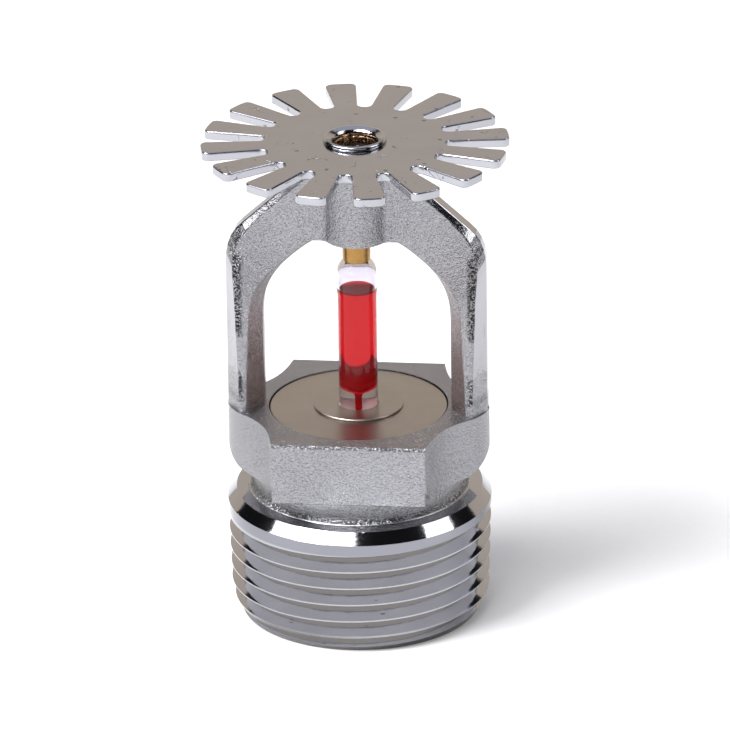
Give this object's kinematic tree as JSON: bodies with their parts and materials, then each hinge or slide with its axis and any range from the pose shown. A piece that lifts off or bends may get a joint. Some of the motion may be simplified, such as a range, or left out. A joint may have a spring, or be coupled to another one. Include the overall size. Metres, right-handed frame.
{
  "type": "fire sprinkler head",
  "caption": "Glass-bulb fire sprinkler head with taper-threaded inlet, wrench boss, two-arm yoke, toothed deflector, bulb valve stack and compression screw.",
  "frame": {"origin": "centre of the inlet end face, on the water axis", "axes": "+Z along the water axis from the inlet to the deflector; X through the two frame arms; Y through the open sides of the yoke, square to the wrench flats"},
  "size_m": [0.0304, 0.0304, 0.0506],
  "materials": {
    "plated_casting": "bright nickel-chrome plate over brass, finely sand-cast on the arms, neck and wrench flats",
    "plated_sheet": "bright nickel-chrome plate over stamped brass sheet, with handling scratches",
    "screw_brass": "turned, bare",
    "bulb_glass": "clear, fire-polished",
    "bulb_fluid": "clear red liquid",
    "valve_nickel": "satin, warm grey, faint circular grain",
    "seal_film": "white fluoropolymer film"
  },
  "bodies": {
    "frame": {"frame": "plated_casting", "deflector": "plated_sheet"},
    "stack": {"glass_bulb": "bulb_glass", "bulb_liquid": "bulb_fluid", "button": "valve_nickel", "disc_spring": "valve_nickel", "sealing_film": "seal_film"},
    "screw": {"compression_screw": "screw_brass"}
  },
  "joints": [
    {"name": "stack_lift", "type": "slide", "parent": "frame", "child": "stack", "axis": [0, 0, 1], "range_m": [0, 0.00225]},
    {"name": "screw_turn", "type": "hinge", "parent": "stack", "child": "screw", "pos_m": [0, 0, 0.042], "axis": [0, 0, 1], "range_deg": [0, 1080]}
  ],
  "couplings": [
    {"joint": "screw_turn", "follows": "stack_lift", "rad_per_m": 8377.6}
  ]
}
